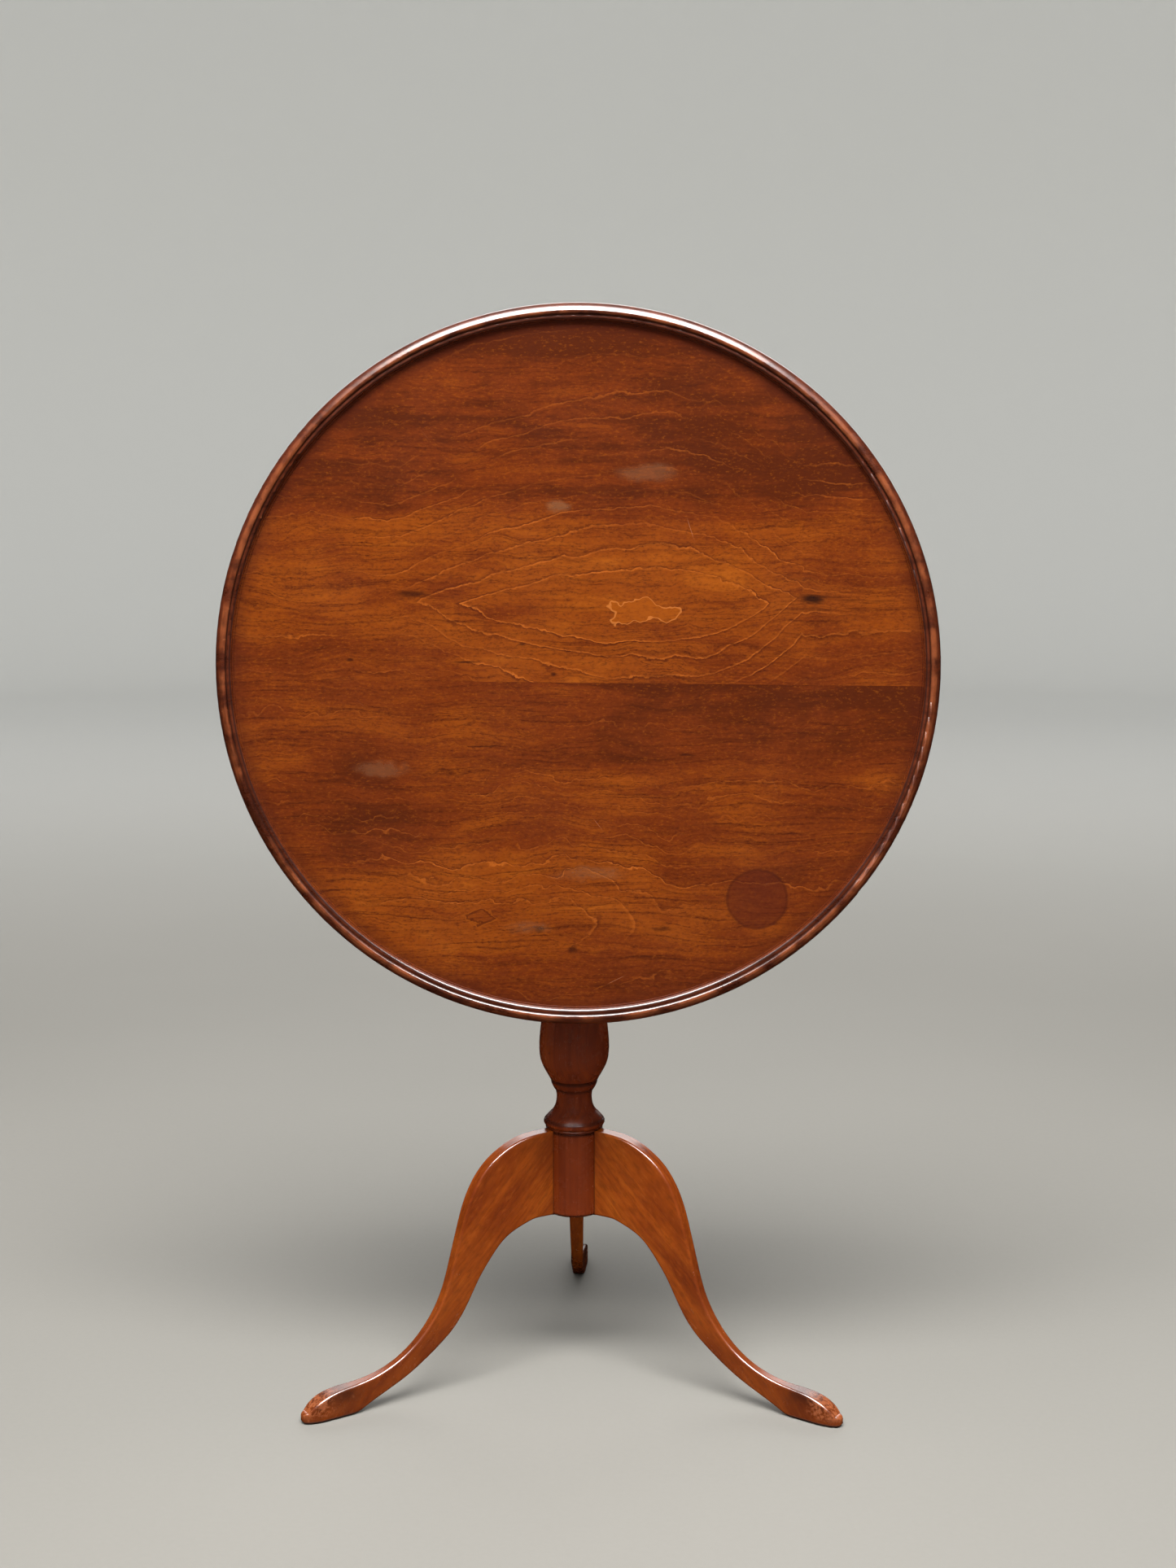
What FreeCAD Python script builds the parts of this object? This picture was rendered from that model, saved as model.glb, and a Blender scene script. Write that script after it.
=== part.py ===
import FreeCAD, Part
import math
import os

# Tilt-top tea table with a dished round top, a turned pillar and three cabriole legs.
# Millimetres. +Z is up, the origin is on the floor at the middle of the footprint, and
# the table faces -Y. At rest the top is tipped up on edge: its dished face looks along -Y.
# The top's own pieces are drawn level, as in use, and then tipped up about the pivot line.

V = FreeCAD.Vector
X, Y, Z = V(1, 0, 0), V(0, 1, 0), V(0, 0, 1)

# ---- driving dimensions ----
TOP_DIA = 724.0          # over the moulded rim, 28 1/2 in
TOP_THICK = 21.0         # at the rim's crest
FIELD_THICK = 13.0       # where the top is dished out
TOP_SHIFT = 6.0          # the round is hung this far to the right of the pillar
SEAM_BELOW = 10.5        # glue line of the two boards, off the round's centre
SEAM_TURN = 0.5          # degrees the glue line runs off square

PILLAR_Y = -79.0         # pillar axis, in front of the footprint's middle
HUB_R = 31.0
HUB_BOTTOM = 176.0
HUB_TOP = 268.5
TENON_R = 16.0
FLAT_R = 29.8            # distance of the flats that the legs are housed against

LEG_AZIMUTHS = {"leg_left": 210.0, "leg_right": 330.0, "leg_back": 90.0}
LEG_TOP = 271.0
DOVETAIL_IN = 20.0       # radius of the dovetail's inner face
DOVETAIL_TOP = 258.0

PIVOT_OUT = 90.0         # pivot line in front of the pillar axis
PIVOT_Z = 687.0
PIVOT_INSET = 13.0       # pivot line below the block's top and behind its front
TOP_GAP = 0.3            # air between the block and the underside of the top
BLOCK_HALF_X = 94.0
BLOCK_HALF_Y = 103.0
BLOCK_THICK = 28.0
PIN_R = 5.0
PIN_PLAY = 0.05          # radial play of the pins in the battens

BATTEN_GAP = 0.8         # side play between block and batten
BATTEN_WIDTH = 34.0
BATTEN_DEPTH = 26.0
BATTEN_HALF = 286.0
SCREW_PLACES = (-250.0, -145.0, 90.0, 250.0)

CATCH_TRAVEL = 8.0
CATCH_FRONT = 107.0      # front of the catch case, behind the pillar axis
BOLT_NOSE = 97.0         # tip of the thrown bolt, behind the pillar axis
BOLT_LOW = 15.0          # bolt's lower and upper faces, under the top
BOLT_HIGH = 8.0
BOLT_HALF = 7.0
BOLT_END = 131.0         # tail of the thrown bolt, behind the pillar axis
KNOB_AT = 125.0          # knob stem, behind the pillar axis
SPRING_R = 2.6
SPRING_WIRE = 0.45

# ---- derived places ----
PIVOT_Y = PILLAR_Y - PIVOT_OUT
BLOCK_TOP = PIVOT_Z + PIVOT_INSET
BLOCK_BOTTOM = BLOCK_TOP - BLOCK_THICK
UNDER = BLOCK_TOP + TOP_GAP          # underside of the level top
TOP_R = TOP_DIA / 2.0
BATTEN_IN = BLOCK_HALF_X + BATTEN_GAP
BATTEN_MID = BATTEN_IN + BATTEN_WIDTH / 2.0


# ---- helpers ----
def line(a, b):
    return Part.makeLine(a, b)


def arc(a, mid, b):
    return Part.Arc(a, mid, b).toShape()


def spline(points, start=None, end=None):
    """Smooth curve through the points, with the directions at its two ends if they are given."""
    curve = Part.BSplineCurve()
    if start and end:
        curve.interpolate(Points=points, InitialTangent=start, FinalTangent=end)
    else:
        curve.interpolate(points)
    return curve.toShape()


def face(edges):
    return Part.Face(Part.Wire(Part.__sortEdges__(edges)))


def box(x0, x1, y0, y1, z0, z1):
    return Part.makeBox(x1 - x0, y1 - y0, z1 - z0, V(x0, y0, z0))


def cylinder(radius, length, base, axis=Z):
    return Part.makeCylinder(radius, length, base, axis)


def revolve(edges, at=V(0, 0, 0)):
    solid = face(edges).revolve(V(0, 0, 0), Z, 360)
    solid.translate(at)
    return solid


def tip_up(shape):
    """Turn a piece of the level top into the upright rest position."""
    tipped = shape.copy()
    tipped.rotate(V(0, PIVOT_Y, PIVOT_Z), X, 90)
    return tipped


def save(name, shape):
    if len(shape.Solids) == 1:
        shape = shape.Solids[0]
    shape.exportStep("parts/" + name + ".step")


# ---- wood screw: a slotted countersunk head on a plain shank, pointing up ----
def screw(x, y, head_z, length, shank_r, head_r):
    head_deep = head_r - shank_r
    tip = 2.0 * shank_r
    outline = [
        V(0, 0, 0), V(head_r, 0, 0), V(shank_r, 0, head_deep),
        V(shank_r, 0, length - tip), V(0.3, 0, length), V(0, 0, length),
    ]
    body = revolve([line(a, b) for a, b in zip(outline, outline[1:] + outline[:1])])
    return body, V(x, y, head_z)


def screw_hole(spec):
    body, at = spec
    hole = body.copy()
    hole.translate(at)
    return hole


def slotted(spec, head_r, turn):
    body, at = spec
    slot = box(-head_r, head_r, -0.4, 0.4, -1, 1.0)
    slot.rotate(V(0, 0, 0), Z, turn)
    made = body.cut(slot)
    made.translate(at)
    return made


# ---- top ----
def rim_section():
    """Half-section of the dished top, x = radius, z = height above the underside."""
    r = TOP_R
    h = TOP_THICK
    f = FIELD_THICK
    return [
        line(V(0, 0, 0), V(r - 3.5, 0, 0)),
        arc(V(r - 3.5, 0, 0), V(r - 1.0, 0, 1.2), V(r, 0, 4.0)),
        line(V(r, 0, 4.0), V(r, 0, 9.0)),
        arc(V(r, 0, 9.0), V(r - 2.4, 0, h - 3.6), V(r - 7.4, 0, h)),
        arc(V(r - 7.4, 0, h), V(r - 9.8, 0, h - 0.5), V(r - 11.2, 0, h - 2.8)),
        line(V(r - 11.2, 0, h - 2.8), V(r - 11.8, 0, h - 2.8)),
        arc(V(r - 11.8, 0, h - 2.8), V(r - 14.6, 0, h - 2.6), V(r - 16.6, 0, h - 5.6)),
        line(V(r - 16.6, 0, h - 5.6), V(r - 16.9, 0, f + 1.2)),
        line(V(r - 16.9, 0, f + 1.2), V(r - 18.3, 0, f + 1.0)),
        line(V(r - 18.3, 0, f + 1.0), V(r - 18.6, 0, f)),
        line(V(r - 18.6, 0, f), V(0, 0, f)),
        line(V(0, 0, f), V(0, 0, 0)),
    ]


def top_boards(holes):
    disc = revolve(rim_section(), V(TOP_SHIFT, PILLAR_Y, UNDER))
    for hole in holes:
        disc = disc.cut(hole)
    half = TOP_DIA
    seam = V(TOP_SHIFT, PILLAR_Y - SEAM_BELOW, UNDER - 1)
    behind = Part.makeBox(2 * half, half, TOP_THICK + 2, V(-half, 0, 0))
    behind.rotate(V(0, 0, 0), Z, -SEAM_TURN)
    behind.translate(seam)
    return disc.common(behind), disc.cut(behind)


# ---- battens, drawn for the right side ----
def batten_blank():
    bevel = 34.0
    low = UNDER - BATTEN_DEPTH
    thin = UNDER - 9.0
    y0 = PILLAR_Y - BATTEN_HALF
    y1 = PILLAR_Y + BATTEN_HALF
    x = BATTEN_IN
    outline = [
        V(x, y0, UNDER), V(x, y1, UNDER), V(x, y1, thin), V(x, y1 - bevel, low),
        V(x, y0 + bevel, low), V(x, y0, thin),
    ]
    blank = face([line(a, b) for a, b in zip(outline, outline[1:] + outline[:1])])
    blank = blank.extrude(V(BATTEN_WIDTH, 0, 0))
    lower = [
        e for e in blank.Edges
        if e.BoundBox.ZMax < UNDER - 1 and e.BoundBox.YLength > 1
    ]
    return blank.makeFillet(2.5, lower)


def batten(side, holes):
    made = batten_blank()
    pivot = cylinder(PIN_R + PIN_PLAY, 26.0, V(BATTEN_IN, PIVOT_Y, PIVOT_Z), X)
    made = made.cut(pivot)
    if side < 0:
        made = made.mirror(V(0, 0, 0), X)
    for hole in holes:
        made = made.cut(hole)
    return made


def batten_screw_specs():
    specs = []
    for side in (-1, 1):
        for along in SCREW_PLACES:
            head_z = UNDER - BATTEN_DEPTH + 1.0
            specs.append(screw(side * BATTEN_MID, PILLAR_Y + along, head_z, 33.0, 2.2, 4.6))
    return specs


# ---- brass spring catch, under the top behind the block ----
def catch_box():
    """Folded brass case: open to the plate, with a mouth for the bolt and a slot for the knob."""
    y0 = PILLAR_Y + CATCH_FRONT
    y1 = y0 + 46.0
    top = UNDER - 2.0
    case = box(-15, 15, y0, y1, UNDER - 20.0, top)
    sharp = [e for e in case.Edges if e.BoundBox.ZLength > 1 or e.BoundBox.ZMax < UNDER - 19]
    case = case.makeFillet(1.2, sharp)
    case = case.cut(box(-13.5, 13.5, y0 + 1.5, y1 - 1.5, UNDER - 18.5, top + 1))
    mouth_low = UNDER - BOLT_LOW - 0.15
    mouth = box(-BOLT_HALF - 0.15, BOLT_HALF + 0.15, y0 - 1, y0 + 2,
                mouth_low, UNDER - BOLT_HIGH + 0.15)
    case = case.cut(mouth)
    knob_y = PILLAR_Y + KNOB_AT
    slot = box(-2.6, 2.6, knob_y - 2.6, knob_y + CATCH_TRAVEL + 2.6, UNDER - 21, UNDER - 18)
    return case.cut(slot)


def catch_bolt():
    y0 = PILLAR_Y + BOLT_NOSE
    y1 = PILLAR_Y + BOLT_END
    low = UNDER - BOLT_LOW
    high = UNDER - BOLT_HIGH
    bolt = box(-BOLT_HALF, BOLT_HALF, y0, y1, low, high)
    # tall tail, guided between the case's floor and the plate
    bolt = bolt.fuse(box(-BOLT_HALF, BOLT_HALF, y1 - 12, y1, UNDER - 18.4, UNDER - 2.1))
    bolt = bolt.removeSplitter()
    bevel = face([
        line(V(-20, y0 - 1, low - 1), V(-20, y0 + 7.0, low - 1)),
        line(V(-20, y0 + 7.0, low - 1), V(-20, y0 - 1, high - 1.0)),
        line(V(-20, y0 - 1, high - 1.0), V(-20, y0 - 1, low - 1)),
    ]).extrude(V(40, 0, 0))
    bolt = bolt.cut(bevel)
    return bolt.cut(cylinder(2.2, 20, V(0, PILLAR_Y + KNOB_AT, high - 20)))


def catch_knob():
    y = PILLAR_Y + KNOB_AT
    z = UNDER - BOLT_HIGH
    outline = [
        line(V(0, 0, 0), V(2.2, 0, 0)),
        line(V(2.2, 0, 0), V(2.2, 0, -15.0)),
        arc(V(2.2, 0, -15.0), V(3.4, 0, -17.2), V(6.2, 0, -18.6)),
        arc(V(6.2, 0, -18.6), V(7.0, 0, -20.6), V(5.8, 0, -22.4)),
        arc(V(5.8, 0, -22.4), V(4.2, 0, -23.3), V(2.2, 0, -23.6)),
        line(V(2.2, 0, -23.6), V(0, 0, -23.6)),
        line(V(0, 0, -23.6), V(0, 0, 0)),
    ]
    return revolve(outline, V(0, y, z))


def catch_spring():
    start = PILLAR_Y + BOLT_END + SPRING_WIRE + 0.1
    room = PILLAR_Y + CATCH_FRONT + 44.5 - SPRING_WIRE - 0.1 - start
    turns = 8
    helix = Part.makeHelix(room / turns, room, SPRING_R)
    ring = Part.Wire(Part.makeCircle(SPRING_WIRE, V(SPRING_R, 0, 0), Y))
    coil = Part.Wire(helix).makePipeShell([ring], True, True)
    coil.rotate(V(0, 0, 0), X, -90)
    coil.translate(V(0, start, UNDER - (BOLT_LOW + BOLT_HIGH) / 2.0))
    return coil


def catch_screw_specs():
    specs = []
    for x in (-20.5, 20.5):
        for y in (CATCH_FRONT + 5, CATCH_FRONT + 47):
            specs.append(screw(x, PILLAR_Y + y, UNDER - 2.0, 10.0, 1.5, 2.9))
    return specs


def catch_plate(holes):
    y0 = PILLAR_Y + CATCH_FRONT - 1.0
    plate = box(-26, 26, y0, y0 + 54, UNDER - 2.0, UNDER)
    corners = [e for e in plate.Edges if e.BoundBox.ZLength > 1]
    plate = plate.makeFillet(4.0, corners)
    for hole in holes:
        plate = plate.cut(hole)
    return plate


# ---- stand ----
def strike_screw_specs():
    """Two small screws driven forwards into the back edge of the block."""
    middle = UNDER - (BOLT_LOW + BOLT_HIGH) / 2.0
    return [(x, PILLAR_Y + BLOCK_HALF_Y, middle) for x in (-15.0, 15.0)]


def strike_screw(place, turn=None):
    body, _ = screw(0, 0, 0, 11.0, 1.4, 2.7)
    if turn is not None:
        slot = box(-3, 3, -0.35, 0.35, -1, 0.8)
        slot.rotate(V(0, 0, 0), Z, turn)
        body = body.cut(slot)
    body.rotate(V(0, 0, 0), X, 90)
    body.translate(V(*place))
    return body


def strike_plate(holes):
    middle = UNDER - (BOLT_LOW + BOLT_HIGH) / 2.0
    back = PILLAR_Y + BLOCK_HALF_Y
    plate = box(-20, 20, back - 1.6, back, middle - 8, middle + 8)
    hole = box(-8, 8, back - 3, back + 1, middle - 4.5, middle + 4.5)
    plate = plate.cut(hole)
    for cut in holes:
        plate = plate.cut(cut)
    return plate


def pivot_block(holes):
    front = PIVOT_Y - PIVOT_INSET
    back = PILLAR_Y + BLOCK_HALF_Y
    half = PIVOT_INSET * math.sqrt(0.5)
    x = -BLOCK_HALF_X
    chamfer = 5.0
    section = [
        line(V(x, PIVOT_Y, BLOCK_TOP), V(x, back, BLOCK_TOP)),
        line(V(x, back, BLOCK_TOP), V(x, back, BLOCK_BOTTOM + chamfer)),
        line(V(x, back, BLOCK_BOTTOM + chamfer), V(x, back - chamfer, BLOCK_BOTTOM)),
        line(V(x, back - chamfer, BLOCK_BOTTOM), V(x, front + chamfer, BLOCK_BOTTOM)),
        line(V(x, front + chamfer, BLOCK_BOTTOM), V(x, front, BLOCK_BOTTOM + chamfer)),
        line(V(x, front, BLOCK_BOTTOM + chamfer), V(x, front, PIVOT_Z)),
        arc(V(x, front, PIVOT_Z), V(x, PIVOT_Y - half, PIVOT_Z + half), V(x, PIVOT_Y, BLOCK_TOP)),
    ]
    block = face(section).extrude(V(2 * BLOCK_HALF_X, 0, 0))
    block = block.cut(cylinder(TENON_R, BLOCK_THICK + 2, V(0, PILLAR_Y, BLOCK_BOTTOM - 1)))
    middle = UNDER - (BOLT_LOW + BOLT_HIGH) / 2.0
    block = block.cut(box(-20, 20, back - 1.6, back + 1, middle - 8, middle + 8))
    block = block.cut(box(-8, 8, back - 11, back, middle - 4.5, middle + 4.5))
    for side in (-1, 1):
        block = block.cut(pivot_pin(side))
    for hole in holes:
        block = block.cut(hole)
    return block


def pivot_pin(side):
    """Iron pin, 22 mm in the block and 24 mm out of it."""
    inner = side * (BLOCK_HALF_X - 22.0)
    pin = cylinder(PIN_R, 46.0, V(inner, PIVOT_Y, PIVOT_Z), V(side, 0, 0))
    outer_edges = [e for e in pin.Edges if abs(abs(e.BoundBox.Center.x) - BLOCK_HALF_X - 24) < 0.1]
    return pin.makeChamfer(0.8, outer_edges)


def tenon_wedge():
    """Thin wedge across the tenon's end, driven in from above."""
    top = BLOCK_TOP
    section = [
        V(-15.4, -1.6, top), V(-15.4, 1.6, top), V(-15.4, 0.4, top - 20), V(-15.4, -0.4, top - 20),
    ]
    wedge = face([line(a, b) for a, b in zip(section, section[1:] + section[:1])])
    wedge = wedge.extrude(V(30.8, 0, 0))
    wedge = wedge.common(cylinder(TENON_R, 40, V(0, 0, top - 30)))
    wedge.translate(V(0, PILLAR_Y, 0))
    return wedge


def pillar_section():
    """Half-section of the turned post, x = radius, z = height."""
    p = lambda r, z: V(r, 0, z)
    shoulder = BLOCK_BOTTOM
    edges = [
        line(p(0, HUB_BOTTOM), p(HUB_R - 5, HUB_BOTTOM)),
        arc(p(HUB_R - 5, HUB_BOTTOM), p(HUB_R - 1.4, HUB_BOTTOM + 1.5), p(HUB_R, HUB_BOTTOM + 5)),
        line(p(HUB_R, HUB_BOTTOM + 5), p(HUB_R, HUB_TOP - 0.8)),
        line(p(HUB_R, HUB_TOP - 0.8), p(HUB_R - 1.6, HUB_TOP)),
        # bead
        arc(p(HUB_R - 1.6, HUB_TOP), p(HUB_R - 0.2, HUB_TOP + 2.0), p(HUB_R - 1.6, HUB_TOP + 4.0)),
        # collar: quarter-round underneath, then a hollow up into the neck
        line(p(HUB_R - 1.6, HUB_TOP + 4.0), p(31.0, 273.2)),
        arc(p(31.0, 273.2), p(32.9, 276.6), p(31.2, 280.2)),
        spline([p(31.2, 280.2), p(27.0, 285.0), p(22.4, 290.2), p(19.7, 297.0), p(18.9, 304.5),
                p(19.4, 309.0), p(20.4, 312.6)]),
        line(p(20.4, 312.6), p(21.2, 312.9)),
        # ring under the urn
        spline([p(21.2, 312.9), p(23.0, 316.0), p(24.4, 319.0), p(25.2, 322.6)]),
        line(p(25.2, 322.6), p(24.5, 323.4)),
        line(p(24.5, 323.4), p(25.9, 324.3)),
        # urn, drawn up into a long taper
        spline([p(25.9, 324.3), p(30.4, 332.4), p(35.4, 343.0), p(37.5, 357.0), p(37.4, 366.0),
                p(35.6, 385.0), p(31.2, 412.0), p(25.6, 445.0), p(21.2, 485.0), p(18.8, 530.0),
                p(18.0, 566.0)]),
        # ring at the top of the taper
        line(p(18.0, 566.0), p(20.0, 566.8)),
        arc(p(20.0, 566.8), p(22.6, 570.4), p(20.0, 574.0)),
        line(p(20.0, 574.0), p(18.6, 574.8)),
        # shaft flaring up to the cap that carries the block
        spline([p(18.6, 574.8), p(18.4, 592.0), p(20.0, 618.0), p(23.4, 640.0), p(25.4, 649.0)]),
        line(p(25.4, 649.0), p(27.4, 649.8)),
        arc(p(27.4, 649.8), p(30.6, 654.2), p(28.2, 658.8)),
        line(p(28.2, 658.8), p(27.0, 659.6)),
        arc(p(27.0, 659.6), p(28.2, 665.0), p(32.6, shoulder - 4.0)),
        line(p(32.6, shoulder - 4.0), p(33.2, shoulder)),
        line(p(33.2, shoulder), p(TENON_R, shoulder)),
        line(p(TENON_R, shoulder), p(TENON_R, BLOCK_TOP)),
        line(p(TENON_R, BLOCK_TOP), p(0, BLOCK_TOP)),
        line(p(0, BLOCK_TOP), p(0, HUB_BOTTOM)),
    ]
    return edges


def dovetail(bottom=HUB_BOTTOM):
    """Tail on a leg's inner end, pointing inwards along -X."""
    neck, tail = 4.6, 6.2
    plan = [V(FLAT_R, -neck, 0), V(FLAT_R, neck, 0), V(DOVETAIL_IN, tail, 0), V(DOVETAIL_IN, -tail, 0)]
    foot = face([line(a, b) for a, b in zip(plan, plan[1:] + plan[:1])])
    key = foot.extrude(V(0, 0, DOVETAIL_TOP - bottom))
    key.translate(V(0, 0, bottom))
    return key


def pillar():
    post = revolve(pillar_section())
    for azimuth in LEG_AZIMUTHS.values():
        flat = box(FLAT_R, HUB_R + 5, -12, 12, HUB_BOTTOM - 1, HUB_TOP + 3.0)
        housing = dovetail(HUB_BOTTOM - 1).fuse(flat)
        housing.rotate(V(0, 0, 0), Z, azimuth)
        post = post.cut(housing)
    post.translate(V(0, PILLAR_Y, 0))
    return post.cut(tenon_wedge())


def leg_side():
    """Side view of a leg, x = distance from the pillar axis, z = height."""
    p = lambda r, z: V(r, 0, z)
    back = [
        p(FLAT_R, LEG_TOP), p(46, 270.2), p(67, 267), p(88, 258), p(108, 243), p(121, 226.5),
        p(130, 209), p(139.5, 180), p(149.5, 143), p(160, 110), p(179, 78), p(213, 48),
        p(242, 36), p(266, 31.6), p(288, 28.6), p(305, 22.0), p(317, 12.0),
    ]
    under = [
        p(270, 0), p(252, 5.6), p(229, 16.5), p(203, 29.5), p(172, 51), p(148, 73),
        p(131, 99), p(118, 123), p(103, 144.5), p(84, 163.5), p(58, 175), p(FLAT_R, HUB_BOTTOM + 1.0),
    ]
    return [
        spline(back),
        arc(p(317, 12.0), p(322.6, 5.2), p(317.5, 0)),
        line(p(317.5, 0), p(270, 0)),
        spline(under, V(-1, 0, 0), V(-1, 0, 0)),
        line(p(FLAT_R, HUB_BOTTOM + 1.0), p(FLAT_R, LEG_TOP)),
    ]


def leg_plan():
    """Half-width of a leg seen from above: thick at the hub, thin at the ankle, broad at the toe."""
    widths = [
        (FLAT_R, 8.6), (70, 8.6), (110, 8.2), (150, 7.0), (190, 6.0), (230, 6.0), (262, 7.2),
        (288, 9.4), (304, 10.2), (315, 8.2), (321, 4.2), (322.6, 0),
    ]
    near = [V(r, -w, -5) for r, w in widths]
    far = [V(r, w, -5) for r, w in reversed(widths[:-1])]
    return [spline(near + far), line(far[-1], near[0])]


def leg():
    side = face(leg_side())
    slab = side.extrude(V(0, 30, 0))
    slab.translate(V(0, -15, 0))
    plan = face(leg_plan()).extrude(V(0, 0, 300))
    body = slab.common(plan)
    return soften(body)


def soften(body):
    """Round the long arrises, leaving the inner end crisp where it meets the hub."""
    solid = body.Solids[0] if body.Solids else body
    long_edges = []
    for e in solid.Edges:
        mid = e.valueAt((e.FirstParameter + e.LastParameter) / 2.0)
        if mid.x > FLAT_R + 1 and e.Length > 15:
            long_edges.append(e)
    for radius in (2.6, 2.2, 1.8, 1.4):
        try:
            made = solid.makeFillet(radius, long_edges)
            if made.isValid() and len(made.Solids) == 1:
                print("leg arris radius", radius)
                return made
        except Exception as problem:
            print("fillet", radius, problem)
    return solid


def place_leg(shape, azimuth):
    placed = shape.copy()
    placed.rotate(V(0, 0, 0), Z, azimuth)
    placed.translate(V(0, PILLAR_Y, 0))
    return placed


# ---- build ----
def build():
    os.makedirs("parts", exist_ok=True)
    pieces = {}

    long_screws = batten_screw_specs()
    long_holes = [screw_hole(s) for s in long_screws]
    small_screws = catch_screw_specs()
    small_holes = [screw_hole(s) for s in small_screws]
    clear_heads = []
    for side in (-1, 1):
        for along in SCREW_PLACES:
            at = V(side * BATTEN_MID, PILLAR_Y + along, UNDER - BATTEN_DEPTH - 1)
            clear_heads.append(cylinder(4.6, 2.0, at))

    upper, lower = top_boards(long_holes + small_holes)
    top = {
        "top_board_upper": upper,
        "top_board_lower": lower,
        "batten_left": batten(-1, long_holes + clear_heads),
        "batten_right": batten(1, long_holes + clear_heads),
        "batten_screws": Part.makeCompound(
            [slotted(s, 4.6, 25 + 47 * i) for i, s in enumerate(long_screws)]),
        "catch_plate": catch_plate(small_holes),
        "catch_case": catch_box(),
        "catch_bolt": catch_bolt(),
        "catch_knob": catch_knob(),
        "catch_spring": catch_spring(),
        "catch_screws": Part.makeCompound(
            [slotted(s, 2.9, 15 + 61 * i) for i, s in enumerate(small_screws)]),
    }
    for name, shape in top.items():
        pieces[name] = tip_up(shape)

    strike_places = strike_screw_specs()
    strike_holes = [strike_screw(p) for p in strike_places]
    pieces["strike_plate"] = strike_plate(strike_holes)
    pieces["strike_screws"] = Part.makeCompound(
        [strike_screw(p, 20 + 70 * i) for i, p in enumerate(strike_places)])
    pieces["pivot_block"] = pivot_block(strike_holes)
    pieces["pivot_pin_left"] = pivot_pin(-1)
    pieces["pivot_pin_right"] = pivot_pin(1)
    pieces["tenon_wedge"] = tenon_wedge()
    pieces["pillar"] = pillar()

    plain = leg()
    whole = plain.fuse(dovetail()).removeSplitter()
    for name, azimuth in LEG_AZIMUTHS.items():
        pieces[name] = place_leg(whole, azimuth)

    for name, shape in pieces.items():
        if not shape.isValid() or not shape.Solids:
            print("CHECK", name, shape.isValid(), len(shape.Solids))
        save(name, shape)
        b = shape.BoundBox
        print("%-16s %d solid  x %.1f..%.1f  y %.1f..%.1f  z %.1f..%.1f  vol %.0f" % (
            name, len(shape.Solids), b.XMin, b.XMax, b.YMin, b.YMax, b.ZMin, b.ZMax, shape.Volume))


build()
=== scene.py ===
import math

import bmesh
import bpy
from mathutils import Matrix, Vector


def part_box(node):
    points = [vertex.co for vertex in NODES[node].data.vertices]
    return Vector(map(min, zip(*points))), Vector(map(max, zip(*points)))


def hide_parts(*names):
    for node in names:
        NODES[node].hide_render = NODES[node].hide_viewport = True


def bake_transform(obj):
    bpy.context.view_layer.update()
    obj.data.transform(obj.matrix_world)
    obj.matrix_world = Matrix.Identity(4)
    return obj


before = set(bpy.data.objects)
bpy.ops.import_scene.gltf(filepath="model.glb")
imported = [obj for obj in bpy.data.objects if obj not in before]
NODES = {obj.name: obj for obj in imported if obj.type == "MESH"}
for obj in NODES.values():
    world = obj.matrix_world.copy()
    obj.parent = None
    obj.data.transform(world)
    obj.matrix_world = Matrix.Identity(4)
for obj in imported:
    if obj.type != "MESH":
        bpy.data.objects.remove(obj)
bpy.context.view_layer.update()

# Looks of a cherry tilt-top tea table: aged finish, figure of the boards, wear, dirt and painted
# shade.
# Metres, in the frame of the imported model. The nodes' boxes place the top and the pillar. Marks on
# the top are measured from its centre, to the right and up as seen from the front; marks on the
# stand are measured from the pillar's axis and from the floor.


def middle(low, high):
    return (low + high) / 2


def joint_box(names):
    """Lowest and highest corners of several nodes together."""
    lows, highs = zip(*(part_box(n) for n in names))
    low = Vector(min(v[i] for v in lows) for i in range(3))
    high = Vector(max(v[i] for v in highs) for i in range(3))
    return low, high


TOP_LOW, TOP_HIGH = joint_box(["top_board_upper", "top_board_lower"])
DISC = middle(TOP_LOW, TOP_HIGH)
DISC_R = (TOP_HIGH.z - TOP_LOW.z) / 2
UNDERSIDE_Y = TOP_HIGH.y
CREST_Y = TOP_LOW.y
PILLAR = middle(*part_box("pillar"))


# ---------------------------------------------------------------- node sums
class Sum:
    """One number on a node tree, so that patterns read as plain sums."""

    def __init__(self, kit, socket):
        self.kit = kit
        self.socket = socket

    def __add__(self, other):
        return self.kit.math("ADD", self, other)

    def __sub__(self, other):
        return self.kit.math("SUBTRACT", self, other)

    def __mul__(self, other):
        return self.kit.math("MULTIPLY", self, other)

    def __truediv__(self, other):
        return self.kit.math("DIVIDE", self, other)

    def __pow__(self, other):
        return self.kit.math("POWER", self, other)

    __radd__ = __add__
    __rmul__ = __mul__

    def __rsub__(self, other):
        return self.kit.math("SUBTRACT", other, self)


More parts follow.
